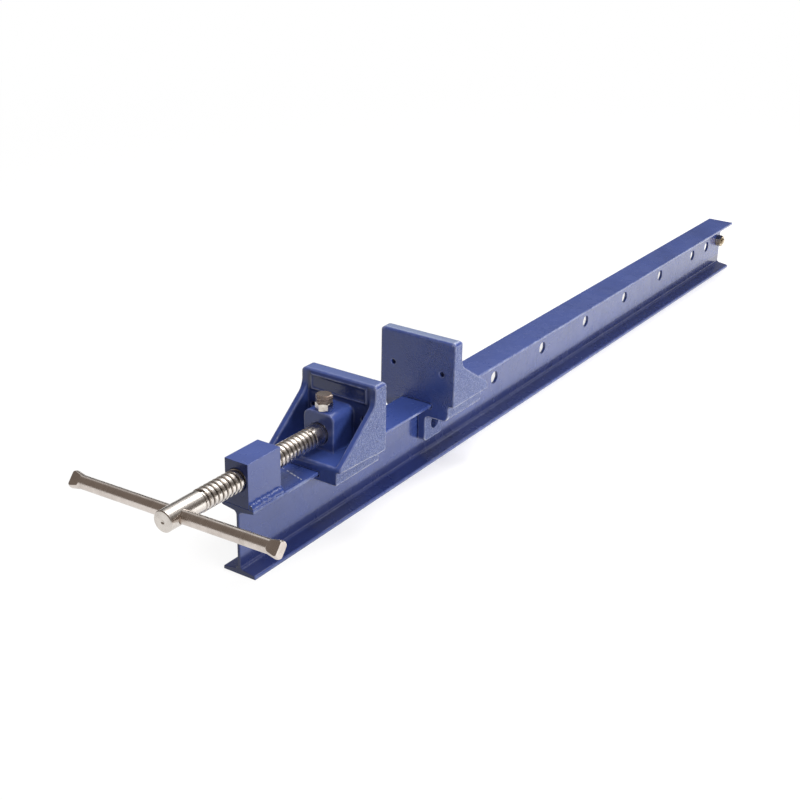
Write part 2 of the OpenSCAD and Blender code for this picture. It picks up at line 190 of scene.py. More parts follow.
def new_material(name):
    """A material whose tree is begun."""
    return begin(bpy.data.materials.new(name))


def close_material(colour, roughness, relief, more):
    """Ends a material; relief is the bump's height, strength and depth in metres."""
    bump = add("ShaderNodeBump", dict(zip(("Height", "Strength", "Distance"), relief)))
    put = {"Base Color": colour, "Roughness": roughness, "Normal": bump, **more}
    surface = add("ShaderNodeBsdfPrincipled", put)
    add("ShaderNodeOutputMaterial", {"Surface": surface})


def close_shape(shape, given, result):
    """Ends a geometry tree: makes the shape real, gives it its material and puts it out."""
    real = add("GeometryNodeRealizeInstances", {0: shape})
    painted = add("GeometryNodeSetMaterial", {"Geometry": real, "Material": given["Material"]})
    trees[-1].links.new(painted.outputs[0], result.inputs[0])
    print("tree", trees[-1].name, "with", len(trees[-1].nodes), "nodes")


# %% [markdown]
# ## Studio
# The photograph is a product shot on a white sweep: the floor fades into white, and only a thin contact
# shadow is left. The floor in front of the bar throws a lot of light up at its near side, the floor at the
# handle end much less. So the matt part of the floor is bright in front and dim elsewhere, and light that
# only the camera and reflections see fills it up to white. Further off the matt part fades out. A narrow
# strip behind the bar, which is seen through the pin holes, is filled less and stays grey: a painted shadow
# of the bar on the floor.

# %% White floor
FLOOR_HALF = 9.0
MATT, DIM = 0.85, 0.07
STRIP_Y, STRIP_LOSS = 0.06, 0.21
floor_paint = new_material("white_sweep")
path = add("ShaderNodeLightPath").outputs
where, axes = on_object()
away = add("ShaderNodeVectorMath", {0: where}, operation="LENGTH").outputs["Value"]
near = span(away, 0.9, 2.4, 1.0, 0.0, "SMOOTHSTEP")
in_front = span(axes["Y"], 0.09, 0.16, 1.0, 0.0, "SMOOTHSTEP")
past_handle = span(axes["X"], -0.75, -0.25, 0.0, 1.0, "SMOOTHSTEP")
bright = span(times(in_front, past_handle), 0.0, 1.0, DIM, MATT)
bright = times(bright, near)
# Painted shadow: a grey strip on the floor behind the bar, where less light fills the floor up to white.
off_strip = size_of(minus(axes["Y"], STRIP_Y))
beside = times(past_handle, span(axes["X"], 0.62, 0.70, 1.0, 0.0))
painted_shadow_strip = times(span(off_strip, 0.03, 0.05, 1.0, 0.0), beside)
camera_fill = span(bright, 0.0, MATT, 1.0, 0.25)
camera_fill = minus(camera_fill, times(painted_shadow_strip, STRIP_LOSS))
gloss_fill = span(bright, 0.0, MATT, 0.95, 0.45)
gloss_fill = times(gloss_fill, span(past_handle, 0.0, 0.5, 0.90, 1.0))
mirrored = larger(path["Is Glossy Ray"], path["Is Transmission Ray"])
camera_part = times(path["Is Camera Ray"], camera_fill)
strength = larger(camera_part, times(mirrored, gloss_fill))
glow = add("ShaderNodeEmission", {"Color": (1, 1, 1, 1), "Strength": strength})
matt = add("ShaderNodeBsdfDiffuse", {"Color": grey(bright)})
both = add("ShaderNodeAddShader", {0: matt, 1: glow})
add("ShaderNodeOutputMaterial", {"Surface": both})

floor_mesh = bpy.data.meshes.new("sweep")
corners = [(x * FLOOR_HALF, y * FLOOR_HALF, 0) for x, y in ((-1, -1), (1, -1), (1, 1), (-1, 1))]
floor_mesh.from_pydata(corners, [], [(0, 1, 2, 3)])
floor_mesh.materials.append(floor_paint)
floor = placed("sweep", floor_mesh)
print("floor", 2 * FLOOR_HALF, "m wide")

# %% [markdown]
# ## Room and lamps
# The camera sees white above the floor as well. Everything else sees a room with a pale backdrop behind the
# clamp, brighter higher up, and a dim, slightly brown rest, which gives the steel its warm dark bands and
# leaves the ends of the bar nearly black. One soft lamp stands beyond the far end, one hangs over the bar and
# one stands to the right of the camera. The last two are hidden from reflections, because their images would
# wash out the top flange when it is seen from behind. A high lamp in front adds glints to corners and edges.

# %% Room and lamps
BACKDROP_WAY = (0.95, 0.20, 0.0)
ROOM_SHADE = (0.195, 0.165, 0.145)
bpy.context.scene.world = begin(bpy.data.worlds.new("white_room"))
path = add("ShaderNodeLightPath").outputs
ray = add("ShaderNodeTexCoord").outputs["Generated"]
height = parts_of(ray)["Z"]
onward = add("ShaderNodeVectorMath", {0: ray, 1: BACKDROP_WAY}, operation="DOT_PRODUCT")
backdrop = span(onward.outputs["Value"], 0.30, 0.72, way="SMOOTHSTEP")
pale = span(height, 0.25, 0.45, 0.09, 0.27)
pale = plus(pale, span(height, 0.47, 0.60, 0.0, 0.80))
pale = times(pale, span(height, 0.80, 0.95, 1.0, 0.2))
shade = blend(backdrop, ROOM_SHADE, grey(pale))
room = add("ShaderNodeBackground", {"Color": shade, "Strength": 1.0})
white = add("ShaderNodeBackground", {"Color": (1, 1, 1, 1), "Strength": 1.0})
pick = add("ShaderNodeMixShader", {0: path["Is Camera Ray"], 1: room, 2: white})
add("ShaderNodeOutputWorld", {"Surface": pick})


def soft_lamp(name, place, target, size, watts, mirrored):
    """A soft box that looks at a target; reflections show it only if it is mirrored."""
    lamp = bpy.data.lights.new(name, "AREA")
    lamp.shape = "RECTANGLE"
    lamp.size, lamp.size_y = size
    lamp.energy = watts
    holder = placed(name, lamp)
    aim = (Vector(target) - Vector(place)).to_track_quat("-Z", "Y")
    holder.matrix_world = Matrix.Translation(place) @ aim.to_matrix().to_4x4()
    holder.visible_glossy = mirrored
    print("lamp", name, "of", watts, "W")


soft_lamp("far_box", (1.80, 0.10, 2.60), (0, 0, 0.05), (2.0, 2.0), 32, True)
soft_lamp("top_box", (-0.2, 0.35, 2.5), (-0.2, 0, 0), (2.6, 1.4), 34, False)
soft_lamp("near_box", (-0.92, -2.4, 0.85), (-0.4, 0, 0.1), (1.2, 0.8), 38, False)
soft_lamp("glint_box", (-0.5, -1.1, 2.4), (-0.3, 0, 0.1), (0.8, 0.6), 20, True)

# %% [markdown]
# ## Enamel
# Bar, block, welds and jaws have the same deep blue enamel. On the rolled bar it lies smooth with a little
# orange peel; on the rough castings it follows the pebbly sand skin. So one node group makes the film, with
# the pebbles as an input, and each paint sets its own amount. The colour wanders slightly, small grains of
# dust are caught in the film, and the gloss changes a little from place to place.

# %% Enamel film, shared by both paints
inputs = {"Vector": "Vector", "Pebbles": 0.0, "Pebble Scale": 300.0}
outputs = {"Color": "Color", "Roughness": "Float", "Height": "Float"}
film, given, result = make_group("ShaderNodeTree", "enamel_film", inputs, outputs)
spot = given["Vector"]
drift = span(grain(spot, 14.0, 3.0), 0.3, 0.7)
mottle = span(grain(spot, 230.0, 3.0), 0.35, 0.75, 0.0, 0.35)
deep = blend(drift, (0.036, 0.063, 0.235), (0.046, 0.080, 0.295))
deep = blend(mottle, deep, (0.054, 0.090, 0.320))
cells = add("ShaderNodeTexVoronoi", {"Vector": spot, "Scale": 190.0}).outputs
chance = add("ShaderNodeSeparateColor", {0: cells["Color"]})
speck = times(span(cells["Distance"], 0.05, 0.11, 1.0, 0.0), above(chance, 0.93))
dusty = blend(times(speck, 0.35), deep, (0.30, 0.33, 0.45))
put = {"Vector": spot, "Scale": given["Pebble Scale"], "Smoothness": 0.6}
pebble = add("ShaderNodeTexVoronoi", put, feature="SMOOTH_F1").outputs["Distance"]
sand = grain(spot, 760.0, 3.0)
relief = times(minus(sand, pebble), given["Pebbles"])
relief = plus(relief, times(grain(spot, 330.0, 1.0), 0.10))
relief = plus(relief, times(speck, 0.15))
rough = span(grain(spot, 45.0, 3.0), 0.3, 0.7, 0.20, 0.32)
put_out(result, {"Color": dusty, "Roughness": rough, "Height": relief})

# %% [markdown]
# ## Edge wear and painted highlight
# Paint and plating are thinnest on sharp edges and get rubbed there first. Cycles gives each point of a fine
# mesh a pointiness, above one half on edges that stand out. The group turns that into a patchy mask. The
# steel uses it for rubbed edges, and the castings also use it for pale lines of painted highlight.

# %% Edge wear and painted highlight, shared by castings and steel
inputs = {"Vector": "Vector", "From": 0.53, "To": 0.60}
wear_and_highlight_edges, given, result = make_group("ShaderNodeTree", "edge_wear_and_highlight", inputs, {"Mask": "Float"})
sharp = add("ShaderNodeNewGeometry").outputs["Pointiness"]
edge = span(sharp, given["From"], given["To"])
patchy = span(grain(given["Vector"], 120.0, 4.0), 0.35, 0.65, 0.35, 1.0)
put_out(result, {"Mask": times(edge, patchy)})

# %% [markdown]
# ## Paint on the bar
# The clear gloss of the bar is a coat over the blue. A short row of bright scratches crosses the top flange
# where the moving jaw has rubbed. The outer edges of the flanges are painted a shade lighter, in patches and
# most on the top flange, partly as thin paint over the corner and partly as painted highlight. The trough
# over the lower flange and the faces that look along the bar, the sawn ends among them, are darkened as
# painted shade, and the sawn ends have no coat. All are masks from the place on the bar and from the way the
# surface faces.

# %% Paint on the bar
SCRATCH_X, SCRATCH_LEAN, FLANGE_Z = 0.5515, 0.31, 0.079
bar_enamel = new_material("bar_blue")
where, axes = on_object()
facing = parts_of(add("ShaderNodeNewGeometry").outputs["True Normal"])
side, sawn = size_of(axes["Y"]), size_of(facing["X"])
paint = add("ShaderNodeGroup", {"Vector": where, "Pebbles": 0.04}, node_tree=film).outputs
patchy = span(grain(where, 70.0, 4.0), 0.4, 0.7)
# Thin paint and painted highlight: the outer edge faces of the flanges are lighter, most on the top flange.
flange_edge_wear_and_highlight = times(span(side, 0.0200, 0.0209), patchy, span(axes["Z"], 0.070, 0.075, 0.2, 0.7))
colour = blend(flange_edge_wear_and_highlight, paint["Color"], (0.26, 0.32, 0.54))

# Painted shade: darker over the lower flange and the foot of the web, and on faces that look along the bar.
trough_shade = times(span(axes["Z"], 0.018, 0.025, 0.55, 0.0), span(side, 0.0195, 0.0205, 1.0, 0.0))
trough_shade = times(trough_shade, above(axes["Z"], 0.003))
painted_shade = larger(trough_shade, span(sawn, 0.7, 0.9, 0.0, 0.40))
colour = blend(painted_shade, colour, (0.014, 0.012, 0.045))

lean = minus(axes["X"], times(axes["Y"], SCRATCH_LEAN))
off_line = size_of(plus(lean, SCRATCH_X))
scratch = times(span(off_line, 0.0004, 0.0011, 1.0, 0.0), span(side, 0.0165, 0.0172, 1.0, 0.0))
broken = span(grain(where, 240.0, 1.0), 0.46, 0.52)
scratch = times(scratch, broken, above(axes["Z"], FLANGE_Z), 0.9)
colour = blend(scratch, colour, (0.66, 0.68, 0.75))
coat = {"Coat Weight": span(sawn, 0.4, 0.8, 0.5, 0.0), "Coat Roughness": 0.05, "Coat IOR": 1.5}
close_material(colour, paint["Roughness"], (paint["Height"], 0.5, 0.0012), coat)
print("material", bar_enamel.name)

# %% [markdown]
# ## Paint on the castings
# The jaws have the same blue over a sand-cast skin. The pebbles must break up the reflections, so there is
# no smooth coat here: the gloss comes from the paint itself, and the bump bends it. Outer sides and legs are
# pebbly all over and the tail jaw's face in patches, while the inside of the moving jaw, the tops and the
# boss are smooth. So the pebbles are masked by which way the surface faces and by its place. Their tops
# are a little paler. Inside the moving jaw, except on the boss, the paint is darkened by dirt and painted
# shade, less where it faces up. The flat tops are lighter, as a painted sheen, more on the tail jaw. Along
# the edges, most of all those that face down, pale lines are painted, partly as thin paint and partly as
# painted highlight.

# %% Paint on the castings
TAIL_FROM_X, TOP_Z = -0.330, 0.155
LEAST_PEBBLES, LEAST_WEAR_AND_HIGHLIGHT = 0.06, 0.12
jaw_enamel = new_material("jaw_blue")
where, axes = on_object()
facing = parts_of(add("ShaderNodeNewGeometry").outputs["True Normal"])
side = size_of(axes["Y"])
low_down = span(axes["Z"], 0.079, 0.082, 1.0, 0.0)
outside = larger(span(side, 0.044, 0.047), low_down)
sides = times(span(size_of(facing["Y"]), 0.90, 0.97), outside)
patches = span(grain(where, 26.0, 2.0), 0.40, 0.62, 0.15, 0.90)
patches = times(patches, span(axes["Y"], -0.03, 0.03, 1.0, 0.25))
tail_face = times(span(size_of(facing["X"]), 0.6, 0.9), patches)
tail_face = times(tail_face, above(axes["X"], TAIL_FROM_X))
pebbly = larger(larger(sides, tail_face), LEAST_PEBBLES)
put = {"Vector": where, "Pebbles": pebbly, "Pebble Scale": 500.0}
paint = add("ShaderNodeGroup", put, node_tree=film).outputs
peaks = times(span(paint["Height"], 0.04, 0.28, 0.26, 0.66), sides)
colour = blend(peaks, paint["Color"], (0.28, 0.34, 0.60))

# Dirt and painted shade: the inside of the moving jaw is darkened, off the boss and less where it faces up.
grime_and_shade = times(span(side, 0.040, 0.044, 1.0, 0.0), span(axes["X"], -0.4685, -0.4675, 1.0, 0.0))
off_boss = larger(span(side, 0.0203, 0.0215), span(axes["X"], -0.4735, -0.4715))
grime_and_shade = times(grime_and_shade, span(axes["Z"], 0.092, 0.110), off_boss)
grime_and_shade = times(grime_and_shade, span(facing["Z"], 0.3, 0.6, 0.45, 0.0))
colour = blend(grime_and_shade, colour, (0.012, 0.011, 0.018))

# Painted sheen: the flat tops of the jaws are lighter, more on the tail jaw.
top_sheen = times(span(facing["Z"], 0.80, 0.98), above(axes["Z"], TOP_Z))
top_sheen = times(top_sheen, span(axes["X"], -0.45, -0.33, 0.17, 0.55))
colour = blend(top_sheen, colour, (0.33, 0.39, 0.50))
# Thin paint and painted highlight: pale lines along the edges, strongest on the edges that face down.
under = times(span(facing["Z"], -0.4, 0.0, 1.0, 0.22), outside)
put = {"Vector": where, "From": 0.506, "To": 0.524}
sharp_edge_mask = add("ShaderNodeGroup", put, node_tree=wear_and_highlight_edges).outputs["Mask"]
thin_paint_and_highlight = times(sharp_edge_mask, larger(under, LEAST_WEAR_AND_HIGHLIGHT))
colour = blend(thin_paint_and_highlight, colour, (0.78, 0.81, 0.92))
rough = plus(paint["Roughness"], span(sides, 0.0, 1.0, -0.08, 0.10))
close_material(colour, rough, (paint["Height"], 0.9, 0.0020), {"Specular IOR Level": 0.6})
print("material", jaw_enamel.name)

# %% [markdown]
# ## Turned steel
# Screw, tommy bar and pin are bright steel from the lathe: fine rings round their axis and a little stain.
# The group expects the axis along X and puts out the rings and the stain; the screw's material darkens the
# thread's grooves, as dirt and painted shade, by how far a point is from the axis.

# %% Turned steel, shared by screw, tommy bar, pin and bolts
inputs = {"Vector": "Vector", "Ring Scale": 1500.0, "Around": 40.0}
outputs = {"Rings": "Float", "Stain": "Float", "Roughness": "Float"}
turned, given, result = make_group("ShaderNodeTree", "turned_steel", inputs, outputs)
put = {0: given["Ring Scale"], 1: given["Around"], 2: given["Around"]}
stretch = add("ShaderNodeCombineXYZ", put)
drawn = add("ShaderNodeVectorMath", {0: given["Vector"], 1: stretch}, operation="MULTIPLY")
rings = grain(drawn, 1.0, 2.0)
stain = span(grain(given["Vector"], 85.0, 5.0), 0.42, 0.68)
rough = plus(span(rings, 0.3, 0.7, 0.16, 0.30), times(stain, 0.10))
put_out(result, {"Rings": rings, "Stain": stain, "Roughness": rough})


def steel(name, bright, dull, axis_turn, ring_scale, groove=None, worn=0.6):
    """A metal with turned rings; groove says where dirt and painted shade darken it: axis height, two radii,
    start.
    """
    material = new_material(name)
    where, axes = on_object()
    along_x = add("ShaderNodeMapping", {"Vector": where, "Rotation": axis_turn})
    put = {"Vector": along_x, "Ring Scale": ring_scale}
    marks = add("ShaderNodeGroup", put, node_tree=turned).outputs
    sharp_edge_mask = add("ShaderNodeGroup", {"Vector": where}, node_tree=wear_and_highlight_edges).outputs["Mask"]
    colour = blend(times(marks["Stain"], 0.7), bright, dull)
    colour = blend(times(sharp_edge_mask, worn), colour, (0.72, 0.70, 0.67))
    # Dirt and painted shade: darker towards the floor of the thread's groove.
    if groove:
        axis_height, floor_radius, clean_radius, start = groove
        rise = minus(axes["Z"], axis_height)
        squares = [calc("POWER", value, 2.0) for value in (axes["Y"], rise)]
        round_axis = calc("SQRT", plus(*squares))
        grime_and_shade = span(round_axis, floor_radius, clean_radius, 0.75, 0.0)
        grime_and_shade = times(grime_and_shade, above(axes["X"], start))
        colour = blend(grime_and_shade, colour, (0.10, 0.085, 0.075))
    relief = (marks["Rings"], 0.12, 0.0004)
    close_material(colour, marks["Roughness"], relief, {"Metallic": 1.0})
    print("material", name)
    return material


# %% Six metals
AXIS_Z = 109
FROM_X, FROM_Y, FROM_Z = (0, 0, 0), (0, 0, pi / 2), (0, pi / 2, 0)
thread_grime_and_shade = (AXIS_Z / 1000, 0.0097, 0.0116, -0.699)
screw_steel = steel("screw_steel", (0.76, 0.71, 0.66), (0.54, 0.49, 0.45), FROM_X, 1500.0, thread_grime_and_shade)
handle_steel = steel("handle_steel", (0.76, 0.69, 0.64), (0.60, 0.53, 0.48), FROM_Y, 700.0)
pin_steel = steel("pin_steel", (0.42, 0.41, 0.40), (0.27, 0.25, 0.23), FROM_Y, 1300.0)
plated_bolt = steel("plated_bolt", (0.52, 0.44, 0.31), (0.30, 0.21, 0.12), FROM_Z, 500.0, worn=0.0)
browned_bolt = steel("browned_bolt", (0.52, 0.43, 0.38), (0.28, 0.20, 0.16), FROM_Z, 500.0, worn=0.0)
# Painted reflection: the lock nut's steel is a lighter copy of the browned bolt's, so its front face shows
# white.
lit_nut_steel = steel("lit_nut_steel", (0.88, 0.83, 0.78), (0.55, 0.48, 0.42), FROM_Z, 500.0, worn=0.0)

# %% [markdown]
# ## Helpers for meshes
# Round pieces are turned on a lathe from a profile. Geometry trees and modifiers are evaluated and turned
# into plain meshes straight away, so no modifier is left on a finished piece. Hanging a piece scales it to
# metres, shades it smooth up to a given angle, with the flat faces kept flat, puts it on its body and hides
# the solid it stands for.

# %% Helpers for meshes
TURN_Z = Matrix.Rotation(pi / 2, 4, "Z")


def move_to(x, y, z):
    """A move, to use in laid."""
    return Matrix.Translation((x, y, z))


def as_mesh(bm):
    """A mesh from edit data."""
    mesh = bpy.data.meshes.new("shape")
    bm.to_mesh(mesh)
    bm.free()
    return mesh


def plain(bm):
    """A mesh from edit data, with its faces outward."""
    bmesh.ops.recalc_face_normals(bm, faces=bm.faces)
    return as_mesh(bm)


def skin_rings(bm, rings, steps):
    """Joins rings of points, one after the other, by faces."""
    for first, second in zip(rings, rings[1:]):
        for k in range(steps):
            around = ((first, k), (first, k + 1), (second, k + 1), (second, k))
            corners = [ring[n % len(ring)] for ring, n in around]
            bm.faces.new(list(dict.fromkeys(corners)))


def lathe(profile, steps=72):
    """Turns points (along X, radius) about the X axis; the first and last radius are 0."""
    bm = bmesh.new()
    rings = []
    for along, radius in profile:
        count = steps if radius else 1
        angles = [2 * pi * k / steps for k in range(count)]
        rings.append([bm.verts.new((along, radius * cos(a), radius * sin(a))) for a in angles])
    skin_rings(bm, rings, steps)
    return plain(bm)


def both_ways(half):
    """A whole lathe profile from its half on the plus side, which is listed from the end inwards."""
    return [(-along, radius) for along, radius in half] + half[::-1]


def on_bench(mesh):
    """A passing object to work on a mesh with modifiers."""
    return placed("work", mesh)


def settled(work):
    """The evaluated mesh of a passing object, which is then removed."""
    graph = bpy.context.evaluated_depsgraph_get()
    mesh = bpy.data.meshes.new_from_object(work.evaluated_get(graph))
    bpy.data.objects.remove(work)
    return mesh


def cut(mesh, tool, operation="DIFFERENCE"):
    """One exact boolean step."""
    work, cutter = on_bench(mesh), on_bench(tool)
    step = work.modifiers.new("cut", "BOOLEAN")
    step.object, step.operation, step.solver = cutter, operation, "EXACT"
    done = settled(work)
    bpy.data.objects.remove(cutter)
    return done


def grow(tree, values, source=None):
    """Runs a geometry tree with named values on a mesh, or on an empty one."""
    work = on_bench(source or bpy.data.meshes.new("blank"))
    step = work.modifiers.new("grow", "NODES")
    step.node_group = tree
    for socket in tree.interface.items_tree:
        if socket.in_out == "INPUT" and socket.name in values:
            step[socket.identifier] = values[socket.name]
    return settled(work)


def eased_box(low, high, ease, segments=2):
    """A box between two corners with broken edges."""
    bm = bmesh.new()
    bmesh.ops.create_cube(bm, size=1)
    size = Vector(high) - Vector(low)
    bmesh.ops.scale(bm, vec=size, verts=bm.verts)
    bmesh.ops.translate(bm, vec=(Vector(high) + Vector(low)) / 2, verts=bm.verts)
    bmesh.ops.bevel(bm, geom=bm.edges[:], offset=ease, segments=segments, profile=0.5, affect="EDGES")
    return plain(bm)


def broken_edges(mesh, width):
    """Takes the sharpness off every edge of a mesh."""
    work = on_bench(mesh)
    step = work.modifiers.new("break", "BEVEL")
    step.width, step.segments, step.limit_method, step.angle_limit = width, 2, "ANGLE", radians(25)
    return settled(work)


def together(*meshes):
    """Several meshes as one, not yet joined."""
    bm = bmesh.new()
    for mesh in meshes:
        bm.from_mesh(mesh)
    return as_mesh(bm)


def laid(mesh, *moves):
    """Applies moves to a mesh, first to last."""
    for move in moves:
        mesh.transform(move)
    return mesh


def hang(name, mesh, material, body, slot, *nodes, angle=30):
    """Makes the finished piece: metres, smooth shading, material, body and the solid it replaces; slot is not
    used.
    """
    mesh.transform(Matrix.Scale(0.001, 4))
    mesh.materials.clear()
    mesh.materials.append(material)
    mesh.shade_smooth()
    mesh.set_sharp_from_angle(angle=radians(angle))
    work = on_bench(mesh)
    even = work.modifiers.new("even", "WEIGHTED_NORMAL")
    even.keep_sharp = True
    mesh = settled(work)
    piece = placed(name, mesh)
    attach(piece, body)
    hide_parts(*nodes)
    low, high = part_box(nodes[0])
    off = 0
    for axis in range(3):
        places = [vertex.co[axis] for vertex in mesh.vertices]
        off = max(off, abs(min(places) - low[axis]), abs(max(places) - high[axis]))
    count = sum(len(face.vertices) - 2 for face in mesh.polygons)
    print(name, "has", count, "triangles; its box is within", round(off * 1000, 2), "mm of the solid's")


# %% [markdown]
# ## Bar
# The bar is the smallest standard rolled I-section, 80 by 42 mm, with flanges that get thicker towards the
# web, a fillet at each root and a round toe at each inner edge. Its section is drawn as one quarter of
# corners with their rounding radii, mirrored twice, and is pushed along X. The two end rings are drawn in a
# little, so the sawn ends have a painted corner that catches the light.

# %% Section of the bar
NEAR_END, FAR_END = -640, 640
HEIGHT, WIDTH, WEB = 80, 42, 3.9
FLANGE, SLOPE, ROOT, TOE, CORNER = 5.9, 0.14, 3.9, 2.3, 0.8


def rounded(corners, arc_steps=8):
    """A closed outline from (y, z, radius) corners, with arcs in the corners that have a radius."""
    outline = []
    for number, (y, z, radius) in enumerate(corners):
        here = Vector((y, z))
        to_last = (Vector(corners[number - 1][:2]) - here).normalized()
        to_next = (Vector(corners[(number + 1) % len(corners)][:2]) - here).normalized()
        half = to_last.angle(to_next) / 2
        middle = here + (to_last + to_next).normalized() * radius / sin(half)
        start = here + to_last * radius / tan(half) - middle
        end = here + to_next * radius / tan(half) - middle
        turn = start.angle_signed(end) if radius else 0
        for step in range(arc_steps + 1):
            outline.append(middle + Matrix.Rotation(-turn * step / arc_steps, 2) @ start)
    return outline


toe_z = HEIGHT / 2 - FLANGE + SLOPE * (WIDTH / 4)
root_z = HEIGHT / 2 - FLANGE - SLOPE * (WIDTH / 4 - WEB / 2)
quarter = [(WEB / 2, root_z, ROOT), (WIDTH / 2, toe_z, TOE), (WIDTH / 2, HEIGHT / 2, CORNER)]
top = quarter + [(-y, z, r) for y, z, r in reversed(quarter)]
section = rounded(top + [(-y, -z, r) for y, z, r in top])
print("section has", len(section), "points")

# %% [markdown]
# ## Pin holes
# A row of holes in the web takes the cross pin that locks the tail jaw. Most stand at an even pitch, and two
# more are near the ends. A geometry tree lays the centres out as points, puts one cutter on each and takes
# them all out of the web in one boolean. The cutter flares at both ends, which breaks the rims of the holes.

# %% Tree for the pin holes
inputs = {"Bar": "Geometry", "Cutter": "Object", "First": 0.0, "Pitch": 1.0, "Count": 1, "Lone Near": 0.0,
    "Lone Far": 0.0, "Height": 0.0, "Material": "Material"}
pin_holes, given, result = make_group("GeometryNodeTree", "pin_holes", inputs, {"Bar": "Geometry"})
centres = add("GeometryNodeJoinGeometry")
step = add("ShaderNodeCombineXYZ", {0: given["Pitch"]})
for start, count in ((given["First"], given["Count"]), (given["Lone Near"], 1), (given["Lone Far"], 1)):
    place = add("ShaderNodeCombineXYZ", {0: start, 2: given["Height"]})
    row = add("GeometryNodeMeshLine", {"Count": count, "Start Location": place, "Offset": step})
    pin_holes.links.new(row.outputs[0], centres.inputs[0])
drill = add("GeometryNodeObjectInfo", {"Object": given["Cutter"]}).outputs["Geometry"]
drills = add("GeometryNodeInstanceOnPoints", {"Points": centres, "Instance": drill})
drills = add("GeometryNodeRealizeInstances", {0: drills})
put = {"Mesh 1": given["Bar"], "Mesh 2": drills}
pierced = add("GeometryNodeMeshBoolean", put, operation="DIFFERENCE", solver="EXACT")
close_shape(pierced, given, result)


# %% Bar
def swept(outline, stations):
    """Pushes an outline along X; each station is a place and how far the outline is drawn in there."""
    bm = bmesh.new()
    rings = []
    for along, drawn_in in stations:
        ring = []
        for number, point in enumerate(outline):
            edge = outline[(number + 1) % len(outline)] - outline[number - 1]
            inward = Vector((-edge.y, edge.x)).normalized()
            place = point + inward * drawn_in
            ring.append(bm.verts.new((along, place.x, place.y + HEIGHT / 2)))
        rings.append(ring)
    skin_rings(bm, rings, len(outline))
    bm.faces.new(rings[0])
    bm.faces.new(rings[-1])
    bmesh.ops.remove_doubles(bm, verts=bm.verts, dist=0.001)
    return plain(bm)


HOLE_Z, HOLE_RADIUS, RIM, RIM_CONE = 48.0, 8.25, 0.1, 3
FIRST_HOLE, HOLE_PITCH, HOLE_COUNT = -130.0, 130.0, 6
PIN_X, LAST_HOLE = -291.0, 580.0
END_BREAK = 0.6
stations = [(NEAR_END, END_BREAK), (NEAR_END + END_BREAK, 0)]
stations += [(FAR_END - END_BREAK, 0), (FAR_END, END_BREAK)]
rolled = swept(section, stations)
half_web = WEB / 2 - RIM
outer = half_web + RIM_CONE
half_drill = [(outer, 0), (outer, HOLE_RADIUS + RIM_CONE), (half_web, HOLE_RADIUS)]
cutter = on_bench(laid(lathe(both_ways(half_drill), 56), TURN_Z))
values = {"Cutter": cutter, "First": FIRST_HOLE, "Pitch": HOLE_PITCH, "Count": HOLE_COUNT, "Lone Near": PIN_X,
    "Lone Far": LAST_HOLE, "Height": HOLE_Z, "Material": bar_enamel}
pierced_bar = grow(pin_holes, values, rolled)
bpy.data.objects.remove(cutter)
hang("bar_rolled", pierced_bar, bar_enamel, "frame", "bar_enamel", "bar", angle=28)

# %% [markdown]
# ## Thread
# The screw has a coarse, nearly square thread with broad crests. Cut on a lathe, it is one groove that winds
# round a rod, so the tree bends one long grid round the axis: along the grid goes the angle, across it one
# pitch of the profile. Neighbouring turns meet edge to edge and are merged. The groove runs out at both ends,
# where the rod is plain again. The same tree, a little wider, cuts the matching thread in the nut block.

# %% Tree for the thread
inputs = {"Start": 0.0, "End": 100.0, "Pitch": 6.5, "Phase": 0.0, "Outside": 12.0, "Depth": 2.6, "Crest": 3.3,
    "Flank": 0.55, "Rounding": 0.25, "Run Out": 4.0, "Steps": 48, "Rows": 21, "Material": "Material"}
helix, given, result = make_group("GeometryNodeTree", "helix_thread", inputs, {"Thread": "Geometry"})
length = minus(given["End"], given["Start"])
turns = calc("CEIL", calc("DIVIDE", length, given["Pitch"]))
long_count = plus(times(turns, given["Steps"]), 1.0)
put = {"Size X": 1.0, "Size Y": 1.0, "Vertices X": long_count, "Vertices Y": given["Rows"]}
sheet = add("GeometryNodeMeshGrid", put).outputs["Mesh"]
on_sheet = parts_of(add("GeometryNodeInputPosition"))
wound = times(plus(on_sheet["X"], 0.5), turns)
begun = calc("DIVIDE", minus(given["Start"], given["Phase"]), given["Pitch"])
turn_number = plus(wound, begun)
angle = times(turn_number, 2 * pi)
across = plus(turn_number, on_sheet["Y"])
along = plus(times(across, given["Pitch"]), given["Phase"])
off_crest = times(size_of(on_sheet["Y"]), given["Pitch"])
half_crest = times(given["Crest"], 0.5)
crest_edge = minus(half_crest, given["Rounding"])
root_edge = plus(plus(half_crest, given["Flank"]), given["Rounding"])
groove = span(off_crest, crest_edge, root_edge, way="SMOOTHSTEP")
rise_end = plus(given["Start"], given["Run Out"])
fall_start = minus(given["End"], given["Run Out"])
rise = span(along, given["Start"], rise_end)
fall = span(along, fall_start, given["End"], 1.0, 0.0)
depth = times(groove, times(rise, fall), given["Depth"])
radius = minus(given["Outside"], depth)
sideways, upwards = [times(radius, calc(kind, angle)) for kind in ("COSINE", "SINE")]
place = add("ShaderNodeCombineXYZ", {0: along, 1: sideways, 2: upwards})
skin = add("GeometryNodeSetPosition", {"Geometry": sheet, "Position": place})
skin = add("GeometryNodeMergeByDistance", {"Geometry": skin, "Distance": 0.005})
close_shape(skin, given, result)


def trimmed(mesh, *planes):
    """Cuts off what lies outside each plane (a point and its outward normal) and closes the cut."""
    bm = bmesh.new()
    bm.from_mesh(mesh)
    for point, outward in planes:
        whole = bm.verts[:] + bm.edges[:] + bm.faces[:]
        plane = {"plane_co": point, "plane_no": outward}
        bmesh.ops.bisect_plane(bm, geom=whole, dist=0.0001, clear_outer=True, **plane)
        bmesh.ops.holes_fill(bm, edges=[edge for edge in bm.edges if edge.is_boundary], sides=0)
    return plain(bm)


